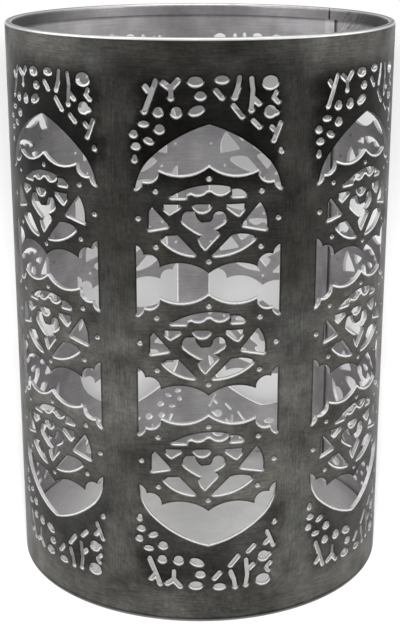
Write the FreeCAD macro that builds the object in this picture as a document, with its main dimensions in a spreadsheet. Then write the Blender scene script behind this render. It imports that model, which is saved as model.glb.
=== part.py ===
# Pierced sheet-metal lantern: a rolled wall with seven fretwork windows, a hoop on each
# edge, a strip behind the closing seam and a raised floor that carries the candle.
# Millimetres, +Z up, origin at the bottom centre. The front of the lantern faces -Y.
import FreeCAD, Part
import Sketcher
import math
import os

Vector = FreeCAD.Vector
Rotation = FreeCAD.Rotation
Placement = FreeCAD.Placement
UP = Vector(0, 0, 1)
FULL_TURN = 360.0

doc = FreeCAD.newDocument("pierced_lantern")
sheet = doc.addObject("Spreadsheet::Sheet", "Sizes")

# Driving dimensions
SIZES = [
    ("wall_radius", 70.0, "outside of the rolled wall"),
    ("total_height", 205.5, "foot to rim"),
    ("wall_sheet", 1.2, "thickness of the wall's sheet"),
    ("lap_gap", 0.1, "play between pieces that are pressed and soldered together"),
    ("panel_count", 7, "fretwork panels round the wall"),
    ("panel_azimuth", 2.4, "degrees from the front to the first panel's centre"),
    ("bar_width", 14.3, "solid bar between two windows, along the wall"),
    ("top_margin", 27.0, "rim to the upper tip of a window"),
    ("bottom_margin", 30.6, "foot to the lower tip of a window"),
    ("arch_rise", 21.7, "height of a window's pointed arch"),
    ("medallion_half_height", 18.0, "middle of a medallion to its point"),
    ("dot_radius", 0.6, "small round holes in a medallion"),
    ("pebble_length", 5.0, "longest of the pebble-shaped holes"),
    ("slit_width", 1.5, "widest of the twig-shaped slits"),
    ("hoop_depth", 4.4, "how far a hoop reaches along the inside of the wall"),
    ("hoop_gap", 1.0, "opening between the ends of a hoop, at the seam"),
    ("seam_gap", 0.3, "slit between the ends of the rolled sheet"),
    ("strip_width", 5.0, "strip behind the seam"),
    ("strip_sheet", 0.8, "thickness of that strip"),
    ("floor_height", 8.0, "top of the floor above the table"),
    ("floor_sheet", 1.0, "thickness of the floor"),
    ("overrun", 2.0, "how far a cut runs past what it cuts"),
]
for row, (alias, value, note) in enumerate(SIZES, start=1):
    sheet.set(f"A{row}", alias)
    sheet.set(f"B{row}", str(value))
    sheet.set(f"C{row}", note)
    sheet.setAlias(f"B{row}", alias)
doc.recompute()


def size(alias):
    return float(sheet.get(alias))


def evaluate(expression):
    """Value of an expression of the sheet's sizes."""
    return float(sheet.evalExpression(expression))


wall_radius = size("wall_radius")
total_height = size("total_height")
wall_sheet = size("wall_sheet")
lap_gap = size("lap_gap")
panel_count = int(size("panel_count"))
panel_azimuth = size("panel_azimuth")
dot_radius = size("dot_radius")
pebble_length = size("pebble_length")
slit_width = size("slit_width")
overrun = size("overrun")
top_margin = size("top_margin")
bottom_margin = size("bottom_margin")
arch_rise = size("arch_rise")
medallion_half_height = size("medallion_half_height")

# Sizes that follow from the driving dimensions
panel_angle = FULL_TURN / panel_count
panel_arc = math.radians(panel_angle) * wall_radius
window_half_width = (panel_arc - size("bar_width")) / 2
window_half_height = (total_height - top_margin - bottom_margin) / 2
window_middle = bottom_margin + window_half_height
hoop_thickness = 2 * wall_sheet + lap_gap
seam_panel_share = 2.5
rim_round_share = 0.44
foot_round_share = 0.25
bend_share = 0.9
seam_azimuth = panel_azimuth + seam_panel_share * panel_angle

# The same sizes as expressions, for the objects that are bound to the sheet
HOOP_THICKNESS = "(2 * Sizes.wall_sheet + Sizes.lap_gap)"
CAP = f"({HOOP_THICKNESS} / 2)"
WALL_BORE = "(Sizes.wall_radius - Sizes.wall_sheet)"
LINING_RADIUS = f"({WALL_BORE} - Sizes.lap_gap)"
PANEL_ANGLE = "(360 / Sizes.panel_count)"


def bind(thing, **expressions):
    for name, text in expressions.items():
        thing.setExpression(name, text)


def turned(angle):
    """Placement turned about the lantern's axis, by degrees."""
    return Placement(Vector(0, 0, 0), Rotation(UP, angle))


def cylinder(name, radius, height, base="0", angle=None):
    """A cylinder on the lantern's axis, its sizes bound to the sheet."""
    solid = doc.addObject("Part::Cylinder", name)
    bind(solid, Radius=radius, Height=height)
    solid.setExpression("Placement.Base.z", base)
    if angle:
        solid.setExpression("Angle", angle)
    return solid


def cut(name, base, tool):
    result = doc.addObject("Part::Cut", name)
    result.Base = base
    result.Tool = tool
    result.Refine = False
    return result


# Fretwork outlines. A step of two shares is a straight run to that point, and a step of
# four is an arc through the first point to the second. Across, the shares are of the
# window's half width. Up, they are of the height that each list names.

# Right half of a window's upper arch, from its tip down, in shares of arch_rise, and the
# same for the lower arch, from its tip up
arch_shares = [(0, 0), (0.45, 0.225, 0.825, 0.562), (0.945, 0.775, 1, 1)]
sill_shares = [(0, 0), (0.45, 0.195, 0.825, 0.505), (0.955, 0.735, 1, 1)]

# Right half of a medallion's top edge, from its point outwards, of medallion_half_height
crown_shares = [
    (0, 1), (0.375, 0.81, 0.675, 0.905), (0.72, 0.73, 0.897, 0.69), (0.94, 0.565, 1, 0.517),
]

# Holes inside a medallion, of medallion_half_height
crescent_shares = [
    (-0.52, 0.41), (-0.17, 0.61, 0.28, 0.60), (0.275, 0.55), (0.17, 0.47, 0.07, 0.50),
    (0, 0.545, -0.06, 0.50), (-0.16, 0.46, -0.24, 0.50), (-0.30, 0.46), (-0.305, 0.395),
    (-0.52, 0.39),
]
crescent_end_shares = [(0.31, 0.55), (0.39, 0.56, 0.50, 0.47), (0.485, 0.42), (0.31, 0.42)]
brow_left_shares = [
    (-0.61, 0.27), (-0.39, 0.275), (-0.39, 0.22), (-0.53, 0.10), (-0.595, 0.17),
]
brow_middle_shares = [
    (-0.215, 0.25), (-0.18, 0.285), (0.01, 0.285), (0.025, 0.24), (-0.07, 0.145, -0.215, 0.25),
]
brow_right_shares = [
    (0.235, 0.28), (0.48, 0.285), (0.47, 0.17), (0.41, 0.07), (0.36, 0.10), (0.25, 0.22),
]
heart_shares = [
    (-0.345, -0.06), (-0.36, 0.06, -0.305, 0.15), (-0.19, 0.155), (-0.15, 0.01, -0.10, -0.05),
    (0.015, -0.035), (0.045, 0.01, 0.06, 0.08), (0.145, 0.155, 0.225, 0.07),
    (0.225, -0.01, 0.20, -0.06), (0.065, -0.175), (0.137, -0.225), (0.13, -0.28),
    (0.054, -0.39), (-0.05, -0.55), (-0.107, -0.46), (-0.14, -0.36), (-0.115, -0.31),
    (-0.07, -0.295), (-0.22, -0.185, -0.345, -0.06),
]
side_left_shares = [
    (-0.765, 0.21), (-0.81, 0.13), (-0.815, -0.225), (-0.55, -0.145), (-0.555, -0.09),
]
side_right_shares = [
    (0.70, 0.29), (0.775, 0.10, 0.79, -0.225), (0.455, -0.125), (0.46, -0.07), (0.68, 0.28),
]
leaf_left_shares = [
    (-0.64, -0.39), (-0.58, -0.31), (-0.42, -0.29), (-0.185, -0.63), (-0.19, -0.665),
    (-0.45, -0.58, -0.64, -0.39),
]
leaf_right_shares = [
    (0.057, -0.64), (0.31, -0.29), (0.46, -0.27, 0.61, -0.32), (0.63, -0.385),
    (0.40, -0.58, 0.06, -0.67),
]
medallion_hole_shares = [
    crescent_shares, crescent_end_shares, brow_left_shares, brow_middle_shares,
    brow_right_shares, heart_shares, side_left_shares, side_right_shares,
    leaf_left_shares, leaf_right_shares,
]
dot_shares = [
    (0, 0.765), (0, -0.765), (0.715, 0.515), (-0.715, 0.515), (0.715, -0.515),
    (-0.715, -0.515), (0.96, 0), (-0.96, 0),
]

# Three medallions a window, spaced by a share of the window's half height
medallion_places_shares = [0.58, 0, -0.58]

# Pebbles above a window: across, rise from the tip as a share of top_margin, then length
# and height as shares of pebble_length, and the tilt in degrees
pebble_shares = [
    (-0.18, 0.504, 0.92, 0.56, 0), (-0.115, 0.341, 0.64, 0.48, 0),
    (-0.165, 0.167, 0.96, 0.52, 20), (-0.43, 0.144, 0.66, 0.64, 0),
    (-0.67, 0.144, 0.58, 0.56, 0), (-0.655, -0.057, 0.60, 0.54, 0),
    (-0.87, 0, 0.60, 0.32, 0), (-1.01, -0.125, 0.45, 0.43, 0),
    (-0.80, -0.2, 0.60, 0.34, -25), (-0.98, -0.27, 0.52, 0.40, 0),
    (-1.0, -0.424, 0.32, 0.48, 0), (0.165, 0.527, 0.80, 0.44, 0),
    (0.816, 0.48, 1.00, 0.80, 0), (0.82, 0.14, 0.76, 0.72, 0),
    (0.985, -0.333, 0.24, 0.36, 20),
]

# Twig-shaped slits above a window: the width as a share of slit_width, then the points
# from end to end, across and up as for the pebbles
twig_shares = [
    (0.93, [(-0.857, 0.148), (-0.775, 0.333), (-0.705, 0.504)]),
    (0.93, [(-0.765, 0.355), (-0.84, 0.439)]),
    (1.00, [(-0.50, 0.314), (-0.503, 0.425), (-0.60, 0.489)]),
    (1.00, [(-0.503, 0.425), (-0.41, 0.519)]),
    (0.93, [(0.09, 0.40), (0.165, 0.322)]),
    (1.00, [(0.395, 0.542), (0.375, 0.43), (0.33, 0.322)]),
    (0.87, [(0.32, 0.223), (0.433, 0.095)]),
    (1.00, [(0.556, 0.527), (0.577, 0.39), (0.556, 0.17)]),
    (0.90, [(0.573, 0.314), (0.66, 0.242)]),
    (0.80, [(0.585, 0.042), (0.67, -0.034)]),
    (0.73, [(0.898, 0.364), (0.865, 0.307), (0.927, 0.25)]),
    (0.93, [(0.84, 0.14), (0.907, 0.125)]),
    (0.80, [(0.873, -0.205), (0.919, -0.11), (0.845, -0.045)]),
    (0.80, [(0.919, -0.11), (0.968, 0)]),
]

# Below a window the same band is mirrored and set further out, by this share of the
# difference between the two margins
lower_shift_share = 0.6


def at(along, height):
    """Point of the panel's plane that lies over a place on the unrolled wall."""
    return Vector(wall_radius * math.sin(along / wall_radius), 0, height)


def path_edges(steps, place):
    """Straight and round edges along an outline's steps, by way of place(across, up)."""
    edges = []
    here = place(*steps[0])
    for step in steps[1:]:
        there = place(*step[-2:])
        if len(step) == 4:
            edges.append(Part.Arc(here, place(*step[:2]), there).toShape())
        else:
            edges.append(Part.LineSegment(here, there).toShape())
        here = there
    return edges


def closed(steps):
    """The steps with a straight run back to the start, where they don't end there."""
    if steps[-1][-2:] == steps[0]:
        return steps
    return steps + [steps[0]]


def face_of(edges):
    return Part.Face(Part.Wire(Part.sortEdges(edges)[0]))


def outline_face(steps, place):
    return face_of(path_edges(closed(steps), place))


def mirrored(edges, middle, direction):
    return [edge.mirror(middle, direction) for edge in edges]


def window_face():
    """A window without its medallions: a pointed arch above, one below and two sides."""
    middle = Vector(0, 0, window_middle)
    spring = window_half_height - arch_rise

    def place_above(across, drop):
        along = across * window_half_width
        return at(along, window_middle + window_half_height - drop * arch_rise)

    def place_below(across, rise):
        along = across * window_half_width
        return at(along, window_middle - window_half_height + rise * arch_rise)

    right = path_edges(arch_shares, place_above) + path_edges(sill_shares, place_below)
    outline = right + mirrored(right, middle, Vector(1, 0, 0))
    for side in (-1, 1):
        low = at(side * window_half_width, window_middle - spring)
        high = at(side * window_half_width, window_middle + spring)
        outline.append(Part.LineSegment(low, high).toShape())
    return face_of(outline)


def medallion_face(middle_height):
    """A medallion's plaque, run a little into the bars on both sides."""
    middle = Vector(0, 0, middle_height)

    def place(across, up):
        return at(across * window_half_width, middle_height + up * medallion_half_height)

    right = path_edges(crown_shares, place)
    top = right + mirrored(right, middle, Vector(1, 0, 0))
    outline = top + mirrored(top, middle, UP)
    across, shoulder = crown_shares[-1][-2:]
    for side in (-1, 1):
        high = place(side * across, shoulder)
        low = place(side * across, -shoulder)
        out = Vector(side * overrun, 0, 0)
        corners = [high, high + out, low + out, low]
        outline += [Part.LineSegment(a, b).toShape() for a, b in zip(corners, corners[1:])]
    return face_of(outline)


def oval_face(centre, length, height, tilt):
    """A pebble: an oval of four arcs, turned by its tilt."""
    def point(angle):
        turn = math.radians(angle)
        return Vector(length / 2 * math.cos(turn), 0, height / 2 * math.sin(turn))

    eighth = FULL_TURN / 8
    edges = []
    for quarter in range(4):
        angle = quarter * 2 * eighth
        arc = Part.Arc(point(angle - eighth), point(angle), point(angle + eighth))
        edges.append(arc.toShape())
    face = face_of(edges)
    face.rotate(Vector(0, 0, 0), Vector(0, -1, 0), tilt)
    face.translate(centre)
    return face


def slit_face(start, end, width):
    """A straight slit with round ends."""
    along = (end - start).normalize() * (width / 2)
    side = along.cross(Vector(0, 1, 0))
    edges = [
        Part.LineSegment(start + side, end + side).toShape(),
        Part.Arc(end + side, end + along, end - side).toShape(),
        Part.LineSegment(end - side, start - side).toShape(),
        Part.Arc(start - side, start - along, start + side).toShape(),
    ]
    return face_of(edges)


def medallion_holes(middle_height):
    def place(across, up):
        return at(across * window_half_width, middle_height + up * medallion_half_height)

    holes = [outline_face(steps, place) for steps in medallion_hole_shares]
    for across, up in dot_shares:
        centre = place(across, up)
        holes.append(oval_face(centre, 2 * dot_radius, 2 * dot_radius, 0))
    return holes


def band_holes(upper):
    """Pebbles and twigs above a window, or the mirrored band below it."""
    side = 1 if upper else -1
    shift = 0 if upper else lower_shift_share * (bottom_margin - top_margin)

    def place(across, rise):
        height = window_half_height + rise * top_margin + shift
        return at(across * window_half_width, window_middle + side * height)

    holes = []
    for across, rise, length, height, tilt in pebble_shares:
        centre = place(across, rise)
        holes.append(oval_face(centre, length * pebble_length, height * pebble_length,
                               side * tilt))
    for width, points in twig_shares:
        places = [place(*point) for point in points]
        for start, end in zip(places, places[1:]):
            holes.append(slit_face(start, end, width * slit_width))
    return holes


def fretwork():
    """Every opening of one panel, pushed through the wall along the panel's middle."""
    places = [window_middle + share * window_half_height for share in medallion_places_shares]
    plaques = [medallion_face(height) for height in places]
    faces = window_face().cut(plaques).Faces
    for height in places:
        faces += medallion_holes(height)
    faces += band_holes(True) + band_holes(False)
    bulge = wall_radius * (1 - math.cos(math.radians(panel_angle) / 2))
    depth = overrun + bulge + wall_sheet + overrun
    prisms = []
    for face in faces:
        face.translate(Vector(0, -wall_radius - overrun, 0))
        prisms.append(face.extrude(Vector(0, depth, 0)))
    return prisms


def pierced_wall():
    """One panel is cut, then copied round the axis, and the last bar is slit as the seam."""
    outside = cylinder("panel_outside", "Sizes.wall_radius",
                       f"Sizes.total_height - 2 * {CAP}", CAP, PANEL_ANGLE)
    bore = cylinder("panel_bore", WALL_BORE,
                    "Sizes.total_height + 2 * Sizes.overrun", "-Sizes.overrun")
    blank = cut("panel_blank", outside, bore)
    blank.Placement = turned(-FULL_TURN / 4 - panel_angle / 2)
    doc.recompute()
    panel = blank.Shape.cut(fretwork())
    panels = []
    for number in range(panel_count):
        copy = panel.copy()
        copy.rotate(Vector(0, 0, 0), UP, panel_azimuth + number * panel_angle)
        panels.append(copy)
    ring = panels[0].fuse(panels[1:])
    seam_gap = size("seam_gap")
    slit = Part.makeBox(seam_gap, 2 * overrun + wall_sheet, total_height,
                        Vector(-seam_gap / 2, -wall_radius - overrun, 0))
    slit.rotate(Vector(0, 0, 0), UP, seam_azimuth)
    wall = doc.addObject("Part::Feature", "pierced_wall")
    wall.Shape = ring.cut(slit).Solids[0]
    return wall


def hold(sketch, direction, axis, number, value, expression):
    """Hold a line's first point at a distance from the origin, or on an axis at zero."""
    if value == 0:
        sketch.addConstraint(Sketcher.Constraint("PointOnObject", number, 1, axis))
    else:
        held = Sketcher.Constraint(direction, -1, 1, number, 1, value)
        index = sketch.addConstraint(held)
        sketch.setExpression(f"Constraints[{index}]", expression)


def turned_body(name, corners, rounded, rounding):
    """A body turned about the axis from a profile of (radius, height) expressions.

    rounded names the corners, by number, whose edges get the rounding.
    """
    body = doc.addObject("PartDesign::Body", name + "_body")
    sketch = body.newObject("Sketcher::SketchObject", name + "_profile")
    plane = [f for f in body.Origin.OriginFeatures if f.Role == "XZ_Plane"][0]
    sketch.AttachmentSupport = [(plane, "")]
    sketch.MapMode = "FlatFace"
    doc.recompute()
    values = [(evaluate(radius), evaluate(height)) for radius, height in corners]
    points = [Vector(x, y, 0) for x, y in values]
    count = len(points)
    for number in range(count):
        line = Part.LineSegment(points[number], points[(number + 1) % count])
        sketch.addGeometry(line, False)
    for number in range(count):
        sketch.addConstraint(Sketcher.Constraint("Coincident", number, 2,
                                                 (number + 1) % count, 1))
    for number, (radius, height) in enumerate(corners):
        x, y = values[number]
        hold(sketch, "DistanceX", -2, number, x, radius)
        hold(sketch, "DistanceY", -1, number, y, height)
    turn = body.newObject("PartDesign::Revolution", name + "_turned")
    turn.Profile = sketch
    turn.ReferenceAxis = (sketch, ["V_Axis"])
    turn.Angle = FULL_TURN
    doc.recompute()
    wanted = []
    for number, edge in enumerate(turn.Shape.Edges, start=1):
        if isinstance(edge.Curve, Part.Circle):
            here = Vector(edge.Curve.Radius, edge.Curve.Center.z, 0)
            if min((here - points[corner]).Length for corner in rounded) < lap_gap / 2:
                wanted.append(f"Edge{number}")
    fillet = body.newObject("PartDesign::Fillet", name + "_rounding")
    fillet.Base = (turn, wanted)
    fillet.setExpression("Radius", rounding)
    doc.recompute()
    body.Tip = fillet
    return body


def hoop(name, corners, rounding):
    """An edge hoop: a turned band, opened at the seam."""
    body = turned_body(name, corners, [0, 1], rounding)
    opening = doc.addObject("Part::Box", name + "_opening")
    bind(opening, Length="Sizes.hoop_gap", Width="2 * Sizes.overrun + Sizes.wall_sheet * 2",
         Height="Sizes.hoop_depth + 2 * Sizes.overrun")
    lowest = min(evaluate(height) for radius, height in corners)
    corner = Vector(-size("hoop_gap") / 2, -wall_radius - overrun, lowest - overrun)
    opening.Placement = turned(seam_azimuth).multiply(Placement(corner, Rotation()))
    return cut(name, body, opening)


def rim_hoop():
    """Lines the mouth and covers the sheet's top edge with a rounded cap."""
    inside = f"Sizes.wall_radius - {HOOP_THICKNESS}"
    shoulder = f"Sizes.total_height - {CAP} + Sizes.lap_gap"
    low = "Sizes.total_height - Sizes.hoop_depth"
    corners = [
        ("Sizes.wall_radius", "Sizes.total_height"), (inside, "Sizes.total_height"),
        (inside, low), (LINING_RADIUS, low), (LINING_RADIUS, shoulder),
        ("Sizes.wall_radius", shoulder),
    ]
    return hoop("rim_hoop", corners, f"{HOOP_THICKNESS} * {rim_round_share}")


def foot_hoop():
    """The same hoop at the foot, less rounded, so that it stands on a flat ring."""
    inside = f"Sizes.wall_radius - {HOOP_THICKNESS}"
    shoulder = f"{CAP} - Sizes.lap_gap"
    corners = [
        ("Sizes.wall_radius", "0"), (inside, "0"), (inside, "Sizes.hoop_depth"),
        (LINING_RADIUS, "Sizes.hoop_depth"), (LINING_RADIUS, shoulder),
        ("Sizes.wall_radius", shoulder),
    ]
    return hoop("foot_hoop", corners, f"{HOOP_THICKNESS} * {foot_round_share}")


def floor_pan():
    """The raised floor, with a turned-down flange that stands on the foot hoop."""
    low = "Sizes.hoop_depth + Sizes.lap_gap"
    under = "Sizes.floor_height - Sizes.floor_sheet"
    flange_inside = f"{LINING_RADIUS} - Sizes.floor_sheet"
    corners = [
        ("0", "Sizes.floor_height"), (LINING_RADIUS, "Sizes.floor_height"),
        (LINING_RADIUS, low), (flange_inside, low), (flange_inside, under), ("0", under),
    ]
    body = turned_body("floor_pan", corners, [1], f"Sizes.floor_sheet * {bend_share}")
    body.Label = "floor_pan"
    return body


def seam_strip():
    """A strip inside the wall that joins the two ends of the rolled sheet."""
    angle = f"(Sizes.strip_width / {LINING_RADIUS} * 180 / pi)"
    low = "Sizes.floor_height + Sizes.lap_gap"
    height = "Sizes.total_height - Sizes.hoop_depth - Sizes.floor_height - 2 * Sizes.lap_gap"
    outside = cylinder("strip_outside", LINING_RADIUS, height, low, angle)
    bore = cylinder("strip_bore", f"{LINING_RADIUS} - Sizes.strip_sheet",
                    "Sizes.total_height", "0")
    strip = cut("seam_strip", outside, bore)
    half_angle = evaluate(angle) / 2
    strip.Placement = turned(seam_azimuth - FULL_TURN / 4 - half_angle)
    return strip


pieces = [pierced_wall(), rim_hoop(), foot_hoop(), floor_pan(), seam_strip()]
doc.recompute()

for thing in doc.Objects:
    if "Invalid" in thing.State or "Error" in thing.State:
        raise RuntimeError(f"{thing.Name} did not recompute: {thing.State}")

os.makedirs("parts", exist_ok=True)
for piece in pieces:
    shape = piece.Shape
    if shape.isNull() or not shape.isValid():
        raise RuntimeError(f"{piece.Name} is not a valid shape")
    shape.exportStep(f"parts/{piece.Label}.step")
    print(piece.Label, len(shape.Solids), "solid", round(shape.Volume), "cubic mm")
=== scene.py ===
# Looks of the pierced sheet-metal lantern: finishes for its five pieces, a pale floor,
# soft light and the camera. Metres, in the frame's own axes: +Z up, front towards -Y.
import bpy
import math
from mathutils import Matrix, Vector


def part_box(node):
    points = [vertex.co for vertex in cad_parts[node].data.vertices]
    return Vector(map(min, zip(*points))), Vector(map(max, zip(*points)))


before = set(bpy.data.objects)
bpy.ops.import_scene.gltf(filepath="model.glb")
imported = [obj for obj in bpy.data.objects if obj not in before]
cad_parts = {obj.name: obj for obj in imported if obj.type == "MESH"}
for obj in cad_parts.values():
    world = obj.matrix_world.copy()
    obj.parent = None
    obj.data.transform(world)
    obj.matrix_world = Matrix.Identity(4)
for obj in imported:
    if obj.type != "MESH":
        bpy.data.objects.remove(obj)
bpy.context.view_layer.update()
scene = bpy.context.scene
MILLIMETRE = 0.001

# Places on the lantern. The azimuth is 0 at the front and grows towards +X, and the
# unrolled wall begins and ends at the seam, behind the middle of the strip.
TOTAL_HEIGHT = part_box("rim_hoop")[1].z
FOOT_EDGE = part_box("foot_hoop")[0].z
HOOP_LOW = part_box("rim_hoop")[0].z
WALL_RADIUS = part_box("pierced_wall")[1].x
strip_low, strip_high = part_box("seam_strip")
STRIP_PLACE = (strip_low + strip_high) / 2
STRIP_AZIMUTH = math.atan2(STRIP_PLACE.x, -STRIP_PLACE.y)

# How the fretwork lies on the wall: the panels round it, the heights between which they
# are cut, and where a panel's two bands of small holes end
PANEL_COUNT = 7
PANEL_AZIMUTH = math.radians(2.4)
PANEL_ANGLE = 2 * math.pi / PANEL_COUNT
PANEL_ARC = PANEL_ANGLE * WALL_RADIUS
FRET_HALF_WIDTH = 25.0 * MILLIMETRE
FRET_LOW = 14.0 * MILLIMETRE
FRET_HIGH = TOTAL_HEIGHT - 11.5 * MILLIMETRE
LOWER_BAND_HIGH = 46.0 * MILLIMETRE
UPPER_BAND_LOW = TOTAL_HEIGHT - 47.5 * MILLIMETRE
FRET_SOFT = 5.0 * MILLIMETRE

# Looks. A grey is a level from 0, black, to 1, white, and a factor multiplies it. A pair
# holds the two ends of a change, mostly what a noise pattern's low and high spots give. In
# a name that ends in FADE the ends are heights or depths, in TURN they are cosines of the
# angle between two directions, and in SINES they are sines of the azimuth.

# The brushed outside of the wall and of the hoops
PATINA_GREYS = (0.022, 0.052)
PATINA_CLOUD_FACTORS = (0.62, 1.38)
PATINA_GRAIN_FACTORS = (0.60, 1.42)
PATINA_SPECK_FACTORS = (0.72, 1.28)
PATINA_ROUGHNESSES = (0.46, 0.34)
PATINA_WARM_COLOUR = (1.12, 1.02, 0.86, 1.0)
PATINA_COOL_COLOUR = (0.96, 1.0, 1.0, 1.0)
PATINA_SPECULAR_COLOUR = (0.7, 0.7, 0.7, 1.0)
PATINA_BUMP = 0.04 * MILLIMETRE

# Its two bands of holes are blackened by heat, the upper one more than the lower. Its
# lower half is lighter than its upper half, and the foot a little more so.
SCORCH_FACTOR = 0.30
LOWER_SCORCH_SHARE = 0.65
SCORCH_WANDER = 3.0 * MILLIMETRE
SCORCH_SIDE_SOFT = 4.0 * MILLIMETRE
SCORCH_BAND_SOFT = 6.0 * MILLIMETRE
UPPER_HALF_FACTOR = 0.80
LOWER_HALF_FACTOR = 2.15
HALVES_FADE = (TOTAL_HEIGHT - 60.5 * MILLIMETRE, 95.0 * MILLIMETRE)
FOOT_FACTOR = 1.05
FOOT_FADE = (35.0 * MILLIMETRE, 12.0 * MILLIMETRE)

# Its plain band above the fretwork gets a painted sheen: as dark as the rest at the front and
# at the back, and painted lighter between them, where light falls on the cylinder's sides, as
# the cosine of twice the azimuth falls.
PLAIN_BAND_SHEEN_FACTOR = 2.4
PLAIN_BAND_SHEEN_COSINES = (1.0, 0.2)
PLAIN_BAND_SHEEN_SOFT = 4.0 * MILLIMETRE

# Cuts in the wall: bare metal, with the outside darkened beside them, partly by soot and
# partly by painted shade, and a painted highlight where the edge looks up, standing for light
# from above on the burr. A normal that is softened near an edge finds both: the darkening by
# how well it agrees with the true one, and the highlight by how far it looks up. The sheet's
# own top edge has neither, and is painted dark for the shade under the hoop.
EDGE_WIDTH = 1.4 * MILLIMETRE
EDGE_SAMPLES = 6
EDGE_SOOT_AND_SHADE_FACTOR = 0.38
EDGE_SOOT_AND_SHADE_TURN = (0.998, 0.95)
BURR_HIGHLIGHT_COLOUR = (0.92, 0.92, 0.90, 1.0)
BURR_HIGHLIGHT_TURN = (0.14, 0.32)
TOP_EDGE_FADE = (FRET_HIGH + 2.0 * MILLIMETRE, FRET_HIGH + 4.0 * MILLIMETRE)
TOP_EDGE_SHADE_COLOUR = (0.05, 0.05, 0.048, 1.0)
CUT_FACTOR = 1.3
CUT_ROUGHNESS = 0.42
WALL_TURN = (0.55, 0.80)

# The paler inside: painted lighter low down, for light that reaches the lower wall, painted
# shade at the sides, a painted shadow along the hoop's lower edge, and smeared slantwise
# beside the strip
INSIDE_GREYS = (0.27, 0.44)
INSIDE_STREAK_FACTORS = (0.90, 1.10)
INSIDE_ROUGHNESSES = (0.5, 0.4)
INSIDE_WARM_COLOUR = (1.05, 0.98, 0.99, 1.0)
INSIDE_COOL_COLOUR = (0.98, 0.99, 1.02, 1.0)
LOW_INSIDE_LIGHT_FACTOR = 1.5
LOW_INSIDE_LIGHT_FADE = (40.0 * MILLIMETRE, 160.0 * MILLIMETRE)
INSIDE_SIDE_SHADE_FACTOR = 0.70
INSIDE_SIDE_SHADE_SINES = (0.40, 0.90)
INSIDE_SIDE_SHADE_FADE = (TOTAL_HEIGHT - 15.5 * MILLIMETRE, TOTAL_HEIGHT - 30.5 * MILLIMETRE)
HOOP_SHADE_FACTOR = 0.55
HOOP_SHADE_FADE = (HOOP_LOW - 1.6 * MILLIMETRE, HOOP_LOW - 0.4 * MILLIMETRE)
SMEAR_FACTORS = (0.55, 1.45)
SMEAR_NEAR = 6.0 * MILLIMETRE
SMEAR_FAR = 22.0 * MILLIMETRE
SMEAR_SOFT = 4.0 * MILLIMETRE
SMEAR_FADE = (TOTAL_HEIGHT - 30.5 * MILLIMETRE, TOTAL_HEIGHT - 15.5 * MILLIMETRE)

# The hoops: worn bare over a small depth from their edge, further down on the outer side,
# where depth counts for less. On the worn round a painted shade darkens the very crest, which
# faces straight up, and painted shade dulls it towards the lantern's sides, as a painted
# reflection does the hoop's inner face, so it stays bright, a painted highlight, only at the
# front and the back.
RIM_CROWN_GREY = 0.66
FOOT_CROWN_GREY = 0.2
CROWN_WEAR_FACTORS = (0.92, 1.08)
CROWN_BLUE_FACTOR = 0.98
CROWN_ROUGHNESS = 0.38
CROWN_SIDE_SHADE_FACTOR = 0.62
CROWN_SIDE_SHADE_SINES = (0.30, 0.95)
CREST_SHADE_FACTOR = 0.34
CREST_SHADE_FADE = (0.32 * MILLIMETRE, 0.08 * MILLIMETRE)
WORN_FADE = (0.70 * MILLIMETRE, 0.35 * MILLIMETRE)
OUTER_DEPTH_SHARE = 0.62
HOOP_TURN = (0.3, 0.6)
HOOP_INSIDE_REFLECTION_FACTORS = (1.30, 0.50)
HOOP_INSIDE_REFLECTION_SINES = (0.55, 0.95)

# The floor and the strip
FLOOR_GREYS = (0.66, 0.80)
FLOOR_RING_FACTORS = (0.95, 1.05)
FLOOR_BLUE_FACTOR = 0.985
FLOOR_ROUGHNESSES = (0.52, 0.42)
STRIP_FACTORS = (0.9, 1.35)
STRIP_FADE = (TOTAL_HEIGHT - 25.5 * MILLIMETRE, TOTAL_HEIGHT - 10.5 * MILLIMETRE)
BARE_BUMP = 0.03 * MILLIMETRE

# Studio: its floor, the light from all round, and the softboxes that light the lantern
# alone, each with its name, place, width and height, and power. The studio's floor has
# lamps of its own: one in front, low, which throws the lantern's shadow behind it, because
# the photograph shows grey there through the openings, and a weak one behind the lantern
# that lifts the shadow close by.
STUDIO_RADIUS = 2.4
STUDIO_FADE_START = 1.55
STUDIO_SIDES = 256
STUDIO_COLOUR = (0.86, 0.86, 0.86, 1.0)
STUDIO_ROUGHNESS = 0.9
AMBIENT_LEVEL = 0.30
SOFTBOXES = [
    ("top_softbox", (0.0, 0.1, 1.3), (1.0, 1.0), 5.0),
    ("left_softbox", (-1.2, -0.25, 0.6), (1.5, 0.9), 12.0),
    ("right_softbox", (1.2, -0.2, 0.6), (1.5, 0.9), 11.0),
]
FLOOR_LAMP_PLACE = (0.0, -0.54, 0.225)
FLOOR_LAMP_WIDTH = 0.12
FLOOR_LAMP_LEVEL = 1.08
POOL_LAMP_PLACE = (0.0, 0.30, 0.45)
POOL_LAMP_WIDTH = 0.12
POOL_LAMP_POWER = 1.3

# The photograph's height in pixels and the camera that fits it. The sensor's width stands
# for the picture's longer side, which is its height.
PHOTO_HEIGHT = 626
SENSOR = 36.0
FOCAL_PIXELS = 1318.9
CAMERA_DISTANCE = 0.4863
CAMERA_HEIGHT = 0.2475
CAMERA_PITCH = math.radians(17.547)
CAMERA_CLIP = 10.0 * MILLIMETRE


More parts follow.
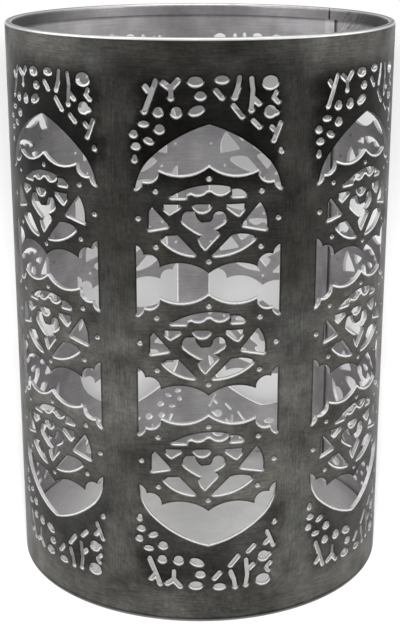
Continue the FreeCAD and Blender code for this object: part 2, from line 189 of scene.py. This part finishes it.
class Nodes:
    """Short calls for building a material's node tree."""

    def __init__(self, tree):
        self.tree = tree

    def add(self, kind, **settings):
        node = self.tree.nodes.new(kind)
        for name, value in settings.items():
            setattr(node, name, value)
        return node

    def put(self, socket, value):
        """Link the value if it comes from a node, or else set it."""
        if isinstance(value, bpy.types.NodeSocket):
            self.tree.links.new(value, socket)
        else:
            socket.default_value = value

    def math(self, operation, a, b=0.0):
        node = self.add("ShaderNodeMath", operation=operation)
        self.put(node.inputs[0], a)
        self.put(node.inputs[1], b)
        return node.outputs[0]

    def product(self, first, *others):
        """All the values multiplied."""
        for other in others:
            first = self.math("MULTIPLY", first, other)
        return first

    def wrap(self, value, low, high):
        node = self.add("ShaderNodeMath", operation="WRAP")
        self.put(node.inputs[0], value)
        node.inputs[1].default_value = high
        node.inputs[2].default_value = low
        return node.outputs[0]

    def vector_math(self, operation, a, b):
        node = self.add("ShaderNodeVectorMath", operation=operation)
        self.put(node.inputs[0], a)
        self.put(node.inputs[1], b)
        return node.outputs["Value" if operation in ("DOT_PRODUCT", "LENGTH") else "Vector"]

    def combine(self, x, y, z):
        node = self.add("ShaderNodeCombineXYZ")
        for socket, value in zip(node.inputs, (x, y, z)):
            self.put(socket, value)
        return node.outputs[0]

    def noise(self, vector, scale, detail, roughness):
        """Noise, mostly between 0.3 and 0.7."""
        node = self.add("ShaderNodeTexNoise")
        self.put(node.inputs["Vector"], vector)
        node.inputs["Scale"].default_value = scale
        node.inputs["Detail"].default_value = detail
        node.inputs["Roughness"].default_value = roughness
        return node.outputs["Fac"]

    def pattern(self, across, up, layer, scale, detail, roughness, pace=(1.0, 1.0)):
        """Noise on an unrolled sheet, drawn out in the direction where its pace is low.

        Each layer is a pattern of its own.
        """
        spot = self.combine(self.product(across, pace[0]), self.product(up, pace[1]), layer)
        return self.noise(spot, scale, detail, roughness)

    def step(self, value, low, high):
        """Smooth rise from 0 at low to 1 at high."""
        node = self.add("ShaderNodeMapRange", interpolation_type="SMOOTHSTEP")
        self.put(node.inputs["Value"], value)
        node.inputs["From Min"].default_value = low
        node.inputs["From Max"].default_value = high
        return node.outputs["Result"]

    def between(self, value, low, high, soft):
        """1 between low and high, falling softly to 0 outside them."""
        rise = self.step(value, low - soft, low + soft)
        fall = self.step(value, high + soft, high - soft)
        return self.product(rise, fall)

    def span(self, value, low, high, to_low, to_high):
        """Straight rise from to_low at low to to_high at high."""
        node = self.add("ShaderNodeMapRange")
        self.put(node.inputs["Value"], value)
        node.inputs["From Min"].default_value = low
        node.inputs["From Max"].default_value = high
        node.inputs["To Min"].default_value = to_low
        node.inputs["To Max"].default_value = to_high
        return node.outputs["Result"]

    def vary(self, noise, pair, reach=0.2):
        """The pair's values where the noise is the reach below and above its middle."""
        return self.span(noise, 0.5 - reach, 0.5 + reach, *pair)

    def mix(self, factor, a, b, blend="MIX"):
        node = self.add("ShaderNodeMix", data_type="RGBA", blend_type=blend)
        self.put(node.inputs["Factor"], factor)
        self.put(node.inputs[6], a)
        self.put(node.inputs[7], b)
        return node.outputs[2]

    def mix_value(self, factor, a, b):
        node = self.add("ShaderNodeMix", data_type="FLOAT")
        self.put(node.inputs[0], factor)
        self.put(node.inputs[2], a)
        self.put(node.inputs[3], b)
        return node.outputs[0]

    def shaded(self, colour, level):
        """The colour with all its channels multiplied by the level."""
        return self.mix(1.0, colour, self.combine(level, level, level), "MULTIPLY")

    def bump(self, height, strength, distance):
        node = self.add("ShaderNodeBump")
        self.put(node.inputs["Height"], height)
        node.inputs["Strength"].default_value = strength
        node.inputs["Distance"].default_value = distance
        return node.outputs["Normal"]


def metal(name):
    """A new metal material: its nodes, its shader and where a point is on the lantern."""
    material = bpy.data.materials.new(name)
    material.use_nodes = True
    tree = material.node_tree
    shader = tree.nodes["Principled BSDF"]
    shader.inputs["Metallic"].default_value = 1.0
    make = Nodes(tree)
    place = make.add("ShaderNodeTexCoord").outputs["Object"]
    parts = make.add("ShaderNodeSeparateXYZ")
    make.put(parts.inputs[0], place)
    x, y, z = parts.outputs
    turn = make.math("ARCTAN2", x, make.product(y, -1.0))
    azimuth = make.wrap(turn, STRIP_AZIMUTH - 2 * math.pi, STRIP_AZIMUTH)
    radius = make.math("SQRT", make.math("ADD", make.product(x, x), make.product(y, y)))
    outward = make.combine(make.math("DIVIDE", x, radius), make.math("DIVIDE", y, radius), 0.0)
    normal = make.add("ShaderNodeNewGeometry").outputs["Normal"]
    here = {
        "place": place,
        "z": z,
        "radius": radius,
        "azimuth": azimuth,
        "along": make.product(azimuth, WALL_RADIUS),
        "sideways": make.math("ABSOLUTE", make.math("SINE", azimuth)),
        "normal": normal,
        "facing": make.vector_math("DOT_PRODUCT", normal, outward),
    }
    return material, make, shader, here


def sides(make, here, low, high):
    """Where the surface faces outwards and where inwards, each as a rise from 0 to 1."""
    return make.step(here["facing"], low, high), make.step(here["facing"], -low, -high)


def beside_panel(make, here):
    """How far a point is, round the wall, from the middle of the nearest panel."""
    turns = make.math("DIVIDE", make.math("SUBTRACT", here["azimuth"], PANEL_AZIMUTH),
                      PANEL_ANGLE)
    off_centre = make.math("SUBTRACT", turns, make.math("ROUND", turns))
    return make.product(make.math("ABSOLUTE", off_centre), PANEL_ARC)


def patina_grain(make, here, beside):
    """Brush marks: upright on the bars between the windows, round the wall elsewhere."""
    along, z = here["along"], here["z"]
    brushed = {"scale": 1900.0, "detail": 5.0, "roughness": 0.65}
    round_grain = make.pattern(along, z, pace=(0.06, 1.0), layer=0.0, **brushed)
    upright_grain = make.pattern(along, z, pace=(1.0, 0.06), layer=7.0, **brushed)
    in_width = make.step(beside, FRET_HALF_WIDTH + FRET_SOFT, FRET_HALF_WIDTH - FRET_SOFT)
    in_height = make.between(z, FRET_LOW, FRET_HIGH, FRET_SOFT)
    on_bar = make.product(make.math("SUBTRACT", 1.0, in_width), in_height)
    return make.mix_value(on_bar, round_grain, upright_grain)


def patina_scorch(make, here, beside, cloud):
    """Factor that blackens the two bands of holes, with a wandering edge."""
    z = here["z"]
    edge = make.math("ADD", beside, make.vary(cloud, (-SCORCH_WANDER, SCORCH_WANDER)))
    in_width = make.step(edge, FRET_HALF_WIDTH + SCORCH_SIDE_SOFT,
                         FRET_HALF_WIDTH - SCORCH_SIDE_SOFT)
    upper = make.between(z, UPPER_BAND_LOW, FRET_HIGH, SCORCH_BAND_SOFT)
    lower = make.between(z, FRET_LOW, LOWER_BAND_HIGH, SCORCH_BAND_SOFT)
    bands = make.math("ADD", upper, make.product(lower, LOWER_SCORCH_SHARE))
    return make.mix_value(make.product(in_width, bands), 1.0, SCORCH_FACTOR)


def plain_band_sheen(make, here):
    """Factor that paints a sheen on the band above the fretwork, lighter between the front and
    the back.
    """
    above = make.step(here["z"], FRET_HIGH - PLAIN_BAND_SHEEN_SOFT, FRET_HIGH + PLAIN_BAND_SHEEN_SOFT)
    twofold = make.math("COSINE", make.product(here["azimuth"], 2.0))
    level = make.span(twofold, *PLAIN_BAND_SHEEN_COSINES, 1.0, PLAIN_BAND_SHEEN_FACTOR)
    return make.mix_value(above, 1.0, level)


def patina_colours(make, here):
    """Colour, roughness and brush marks of the outside."""
    along, z = here["along"], here["z"]
    beside = beside_panel(make, here)
    grain = patina_grain(make, here, beside)
    wide_cloud = make.pattern(along, z, pace=(0.7, 1.0), layer=11.0,
                              scale=34.0, detail=3.0, roughness=0.5)
    cloud = make.pattern(along, z, layer=0.0, scale=85.0, detail=4.0, roughness=0.6)
    speck = make.pattern(along, z, layer=0.0, scale=700.0, detail=4.0, roughness=0.7)
    tint = make.pattern(z, along, layer=3.0, scale=45.0, detail=3.0, roughness=0.5)
    level = make.product(
        make.vary(wide_cloud, PATINA_GREYS, reach=0.18),
        make.vary(cloud, PATINA_CLOUD_FACTORS),
        make.vary(grain, PATINA_GRAIN_FACTORS, reach=0.25),
        make.vary(speck, PATINA_SPECK_FACTORS, reach=0.25),
        patina_scorch(make, here, beside, cloud),
        make.mix_value(make.step(z, *HALVES_FADE), UPPER_HALF_FACTOR, LOWER_HALF_FACTOR),
        make.span(z, *FOOT_FADE, 1.0, FOOT_FACTOR),
        # painted sheen on the plain band above the fretwork
        plain_band_sheen(make, here),
    )
    colour = make.shaded(make.mix(tint, PATINA_WARM_COLOUR, PATINA_COOL_COLOUR), level)
    return colour, make.vary(cloud, PATINA_ROUGHNESSES), grain


def seam_smear(make, here):
    """Factor for the slanting streaks beside the strip, near the mouth."""
    along, z = here["along"], here["z"]
    beside_seam = make.math("SUBTRACT", STRIP_AZIMUTH * WALL_RADIUS, along)
    smeared = make.product(make.between(beside_seam, SMEAR_NEAR, SMEAR_FAR, SMEAR_SOFT),
                           make.step(z, *SMEAR_FADE))
    streak = make.pattern(make.math("ADD", along, z), make.math("SUBTRACT", along, z),
                          pace=(1.0, 0.12), layer=9.0,
                          scale=800.0, detail=4.0, roughness=0.65)
    return make.mix_value(smeared, 1.0, make.vary(streak, SMEAR_FACTORS, reach=0.15))


def inside_colours(make, here):
    """Colour and roughness of the inside."""
    along, z = here["along"], here["z"]
    cloud = make.pattern(along, z, layer=1.0, scale=60.0, detail=4.0, roughness=0.6)
    tint = make.pattern(along, z, layer=1.0, scale=24.0, detail=2.0, roughness=0.5)
    streak = make.pattern(along, z, pace=(0.05, 1.0), layer=4.0,
                          scale=1500.0, detail=4.0, roughness=0.6)
    # painted shade on the inside towards the lantern's sides, below the mouth
    inside_side_shade = make.product(make.step(here["sideways"], *INSIDE_SIDE_SHADE_SINES), make.step(z, *INSIDE_SIDE_SHADE_FADE))
    level = make.product(
        make.vary(cloud, INSIDE_GREYS),
        make.vary(streak, INSIDE_STREAK_FACTORS),
        # painted light on the lower inside
        make.span(z, *LOW_INSIDE_LIGHT_FADE, LOW_INSIDE_LIGHT_FACTOR, 1.0),
        make.mix_value(inside_side_shade, 1.0, INSIDE_SIDE_SHADE_FACTOR),
        # painted shadow under the hoop's lower edge
        make.mix_value(make.step(z, *HOOP_SHADE_FADE), 1.0, HOOP_SHADE_FACTOR),
        seam_smear(make, here),
    )
    colour = make.shaded(make.mix(tint, INSIDE_WARM_COLOUR, INSIDE_COOL_COLOUR), level)
    return colour, make.vary(cloud, INSIDE_ROUGHNESSES)


def edge_shade_and_highlight(make, here, outside, top_edge):
    """The outside, darkened beside the cuts by soot and painted shade, with a painted
    highlight where a cut looks up.
    """
    softened = make.add("ShaderNodeBevel", samples=EDGE_SAMPLES)
    softened.inputs["Radius"].default_value = EDGE_WIDTH
    normal = softened.outputs["Normal"]
    agreement = make.vector_math("DOT_PRODUCT", normal, here["normal"])
    upward = make.vector_math("DOT_PRODUCT", normal, (0.0, 0.0, 1.0))
    fretted = make.math("SUBTRACT", 1.0, top_edge)
    # painted shade, with soot, darkens the outside beside the cuts
    near = make.product(fretted, make.step(agreement, *EDGE_SOOT_AND_SHADE_TURN))
    # painted highlight where a cut edge looks up
    upward_edge_highlight = make.product(fretted, make.step(upward, *BURR_HIGHLIGHT_TURN))
    soot_and_shade = make.shaded(outside, make.mix_value(near, 1.0, EDGE_SOOT_AND_SHADE_FACTOR))
    return make.mix(upward_edge_highlight, soot_and_shade, BURR_HIGHLIGHT_COLOUR)


def wall_finish():
    """Dark brushed outside, paler inside and bare metal where the sheet is cut."""
    material, make, shader, here = metal("pierced_wall_finish")
    outside, outside_rough, grain = patina_colours(make, here)
    inside, inside_rough = inside_colours(make, here)
    is_outside, is_inside = sides(make, here, *WALL_TURN)
    top_edge = make.step(here["z"], *TOP_EDGE_FADE)
    outside = edge_shade_and_highlight(make, here, outside, top_edge)
    # the sheet's top edge is painted dark for the shade under the hoop
    cut = make.mix(top_edge, make.shaded(inside, CUT_FACTOR), TOP_EDGE_SHADE_COLOUR)
    colour = make.mix(is_outside, make.mix(is_inside, cut, inside), outside)
    rough = make.mix_value(is_outside, make.mix_value(is_inside, CUT_ROUGHNESS, inside_rough),
                           outside_rough)
    make.put(shader.inputs["Base Color"], colour)
    make.put(shader.inputs["Roughness"], rough)
    make.put(shader.inputs["Normal"], make.bump(grain, strength=0.35, distance=PATINA_BUMP))
    shader.inputs["Specular Tint"].default_value = PATINA_SPECULAR_COLOUR
    return material


def worn_crown_and_painted_light(make, here, depth, grey):
    """Colour of a hoop's worn round, with painted shade at its crest and towards the lantern's
    sides.
    """
    wear = make.pattern(here["along"], here["z"], layer=5.0,
                        scale=240.0, detail=4.0, roughness=0.6)
    level = make.product(
        make.vary(wear, [grey * factor for factor in CROWN_WEAR_FACTORS]),
        # painted shade on the crest that faces straight up
        make.mix_value(make.step(depth, *CREST_SHADE_FADE), 1.0, CREST_SHADE_FACTOR),
        # painted shade towards the lantern's sides
        make.span(here["sideways"], *CROWN_SIDE_SHADE_SINES, 1.0, CROWN_SIDE_SHADE_FACTOR),
    )
    return make.combine(level, level, make.product(level, CROWN_BLUE_FACTOR))


def hoop_finish(name, edge, crown_grey):
    """Dark outside like the wall's, an inner face with a painted reflection that is lighter at
    the front and back and darker at the sides, and a worn round at the edge.
    """
    material, make, shader, here = metal(name)
    outside, outside_rough, grain = patina_colours(make, here)
    inside, inside_rough = inside_colours(make, here)
    # painted reflection on the hoop's inner face, lighter at the front and back, darker at the
    # sides
    inner_face_reflection = make.span(here["sideways"], *HOOP_INSIDE_REFLECTION_SINES, *HOOP_INSIDE_REFLECTION_FACTORS)
    face = make.shaded(inside, inner_face_reflection)
    depth = make.math("ABSOLUTE", make.math("SUBTRACT", here["z"], edge))
    crown = worn_crown_and_painted_light(make, here, depth, crown_grey)
    is_outside, is_inside = sides(make, here, *HOOP_TURN)
    turned = HOOP_TURN[0]
    depth_share = make.span(here["facing"], -turned, turned, 1.0, OUTER_DEPTH_SHARE)
    worn = make.step(make.product(depth, depth_share), *WORN_FADE)
    unworn = make.mix(is_outside, make.mix(is_inside, crown, face), outside)
    rough = make.mix_value(is_inside, outside_rough, inside_rough)
    make.put(shader.inputs["Base Color"], make.mix(worn, unworn, crown))
    make.put(shader.inputs["Roughness"], make.mix_value(worn, rough, CROWN_ROUGHNESS))
    make.put(shader.inputs["Normal"], make.bump(grain, strength=0.25, distance=PATINA_BUMP))
    return material


def floor_finish():
    """Satin bare floor with faint turning marks and clouding."""
    material, make, shader, here = metal("floor_pan_finish")
    rings = make.pattern(here["radius"], here["azimuth"], pace=(1.0, 0.001), layer=2.0,
                         scale=1800.0, detail=3.0, roughness=0.6)
    cloud = make.noise(here["place"], scale=45.0, detail=4.0, roughness=0.6)
    level = make.product(make.vary(cloud, FLOOR_GREYS), make.vary(rings, FLOOR_RING_FACTORS))
    colour = make.combine(level, level, make.product(level, FLOOR_BLUE_FACTOR))
    make.put(shader.inputs["Base Color"], colour)
    make.put(shader.inputs["Roughness"], make.vary(cloud, FLOOR_ROUGHNESSES))
    make.put(shader.inputs["Normal"], make.bump(rings, strength=0.15, distance=BARE_BUMP))
    return material


def strip_finish():
    """The inside's metal, brushed lengthwise and brighter near the mouth."""
    material, make, shader, here = metal("seam_strip_finish")
    inside, inside_rough = inside_colours(make, here)
    grain = make.pattern(here["along"], here["z"], pace=(1.0, 0.05), layer=0.0,
                         scale=2000.0, detail=3.0, roughness=0.6)
    colour = make.shaded(inside, make.span(here["z"], *STRIP_FADE, *STRIP_FACTORS))
    make.put(shader.inputs["Base Color"], colour)
    make.put(shader.inputs["Roughness"], inside_rough)
    make.put(shader.inputs["Normal"], make.bump(grain, strength=0.3, distance=BARE_BUMP))
    return material


def dress(node, material):
    """Give a piece its one material."""
    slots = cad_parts[node].data.materials
    slots.clear()
    slots.append(material)


def seen_directly(make):
    """1 for camera, glossy and transmission rays, 0 for the rays that light the object."""
    path = make.add("ShaderNodeLightPath")
    either = make.math("MAXIMUM", path.outputs["Is Camera Ray"], path.outputs["Is Glossy Ray"])
    return make.math("MAXIMUM", either, path.outputs["Is Transmission Ray"])


def backdrop():
    """White all round, and softer as a light."""
    world = bpy.data.worlds.new("studio")
    scene.world = world
    world.use_nodes = True
    make = Nodes(world.node_tree)
    background = world.node_tree.nodes["Background"]
    background.inputs["Color"].default_value = (1, 1, 1, 1)
    make.put(background.inputs["Strength"],
             make.mix_value(seen_directly(make), AMBIENT_LEVEL, 1.0))


def studio_floor():
    """A pale disc that keeps the shadow and fades into the white surroundings."""
    bpy.ops.mesh.primitive_circle_add(vertices=STUDIO_SIDES, radius=STUDIO_RADIUS,
                                      fill_type="NGON")
    floor = bpy.context.object
    floor.name = "studio_floor"
    material = bpy.data.materials.new("studio_floor_finish")
    material.use_nodes = True
    tree = material.node_tree
    shader = tree.nodes["Principled BSDF"]
    shader.inputs["Base Color"].default_value = STUDIO_COLOUR
    shader.inputs["Roughness"].default_value = STUDIO_ROUGHNESS
    shader.inputs["Specular IOR Level"].default_value = 0.0
    make = Nodes(tree)
    place = make.add("ShaderNodeTexCoord").outputs["Object"]
    radius = make.vector_math("LENGTH", place, (0.0, 0.0, 0.0))
    clear = make.add("ShaderNodeBsdfTransparent")
    blend = make.add("ShaderNodeMixShader")
    make.put(blend.inputs[0], make.step(radius, STUDIO_FADE_START, STUDIO_RADIUS))
    make.put(blend.inputs[1], shader.outputs[0])
    make.put(blend.inputs[2], clear.outputs[0])
    make.put(tree.nodes["Material Output"].inputs["Surface"], blend.outputs[0])
    floor.data.materials.append(material)
    return floor


def receivers(name, objects):
    """A collection of the objects that a lamp lights."""
    group = bpy.data.collections.new(name)
    for item in objects:
        group.objects.link(item)
    return group


def place_lamp(data, place, lit):
    """Put a lamp into the scene that lights only the collection's objects."""
    lamp = bpy.data.objects.new(data.name, data)
    lamp.location = place
    lamp.light_linking.receiver_collection = lit
    scene.collection.objects.link(lamp)
    return lamp


def softboxes():
    """The lantern's own lamps, aimed at its middle."""
    lantern = receivers("lantern_receivers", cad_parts.values())
    for name, place, (width, height), power in SOFTBOXES:
        data = bpy.data.lights.new(name, "AREA")
        data.shape = "RECTANGLE"
        data.size, data.size_y = width, height
        data.energy = power
        lamp = place_lamp(data, place, lantern)
        aim = Vector((0, 0, TOTAL_HEIGHT / 2)) - Vector(place)
        lamp.rotation_euler = aim.to_track_quat("-Z", "Y").to_euler()


def point_lamp(name, width, power):
    """A ball of this width that shines all round."""
    data = bpy.data.lights.new(name, "POINT")
    data.shadow_soft_size = width / 2
    data.energy = power
    return data


def floor_lamps(floor):
    """The studio floor's own lamps.

    A point lamp gives a floor power x height / (4 pi squared x distance cubed). The first
    lamp's strength grows with the distance cubed, so its light is even all over the floor.
    """
    lit = receivers("floor_receivers", [floor])
    power = 4 * math.pi * math.pi * FLOOR_LAMP_LEVEL / FLOOR_LAMP_PLACE[2]
    data = point_lamp("floor_lamp", FLOOR_LAMP_WIDTH, power)
    data.use_nodes = True
    make = Nodes(data.node_tree)
    far = make.add("ShaderNodeLightPath").outputs["Ray Length"]
    make.put(data.node_tree.nodes["Emission"].inputs["Strength"], make.math("POWER", far, 3.0))
    place_lamp(data, FLOOR_LAMP_PLACE, lit)
    place_lamp(point_lamp("pool_lamp", POOL_LAMP_WIDTH, POOL_LAMP_POWER), POOL_LAMP_PLACE, lit)


def camera():
    """The camera that the photograph was taken with, as fitted to the lantern."""
    data = bpy.data.cameras.new("photo_camera")
    data.sensor_width = SENSOR
    data.lens = FOCAL_PIXELS * SENSOR / PHOTO_HEIGHT
    data.clip_start = CAMERA_CLIP
    view = bpy.data.objects.new("photo_camera", data)
    view.location = (0, -CAMERA_DISTANCE, CAMERA_HEIGHT)
    view.rotation_euler = (math.pi / 2 - CAMERA_PITCH, 0, 0)
    scene.collection.objects.link(view)
    scene.camera = view


scene.view_settings.view_transform = "Standard"
dress("pierced_wall", wall_finish())
dress("rim_hoop", hoop_finish("rim_hoop_finish", TOTAL_HEIGHT, RIM_CROWN_GREY))
dress("foot_hoop", hoop_finish("foot_hoop_finish", FOOT_EDGE, FOOT_CROWN_GREY))
dress("floor_pan", floor_finish())
dress("seam_strip", strip_finish())
backdrop()
softboxes()
floor_lamps(studio_floor())
camera()
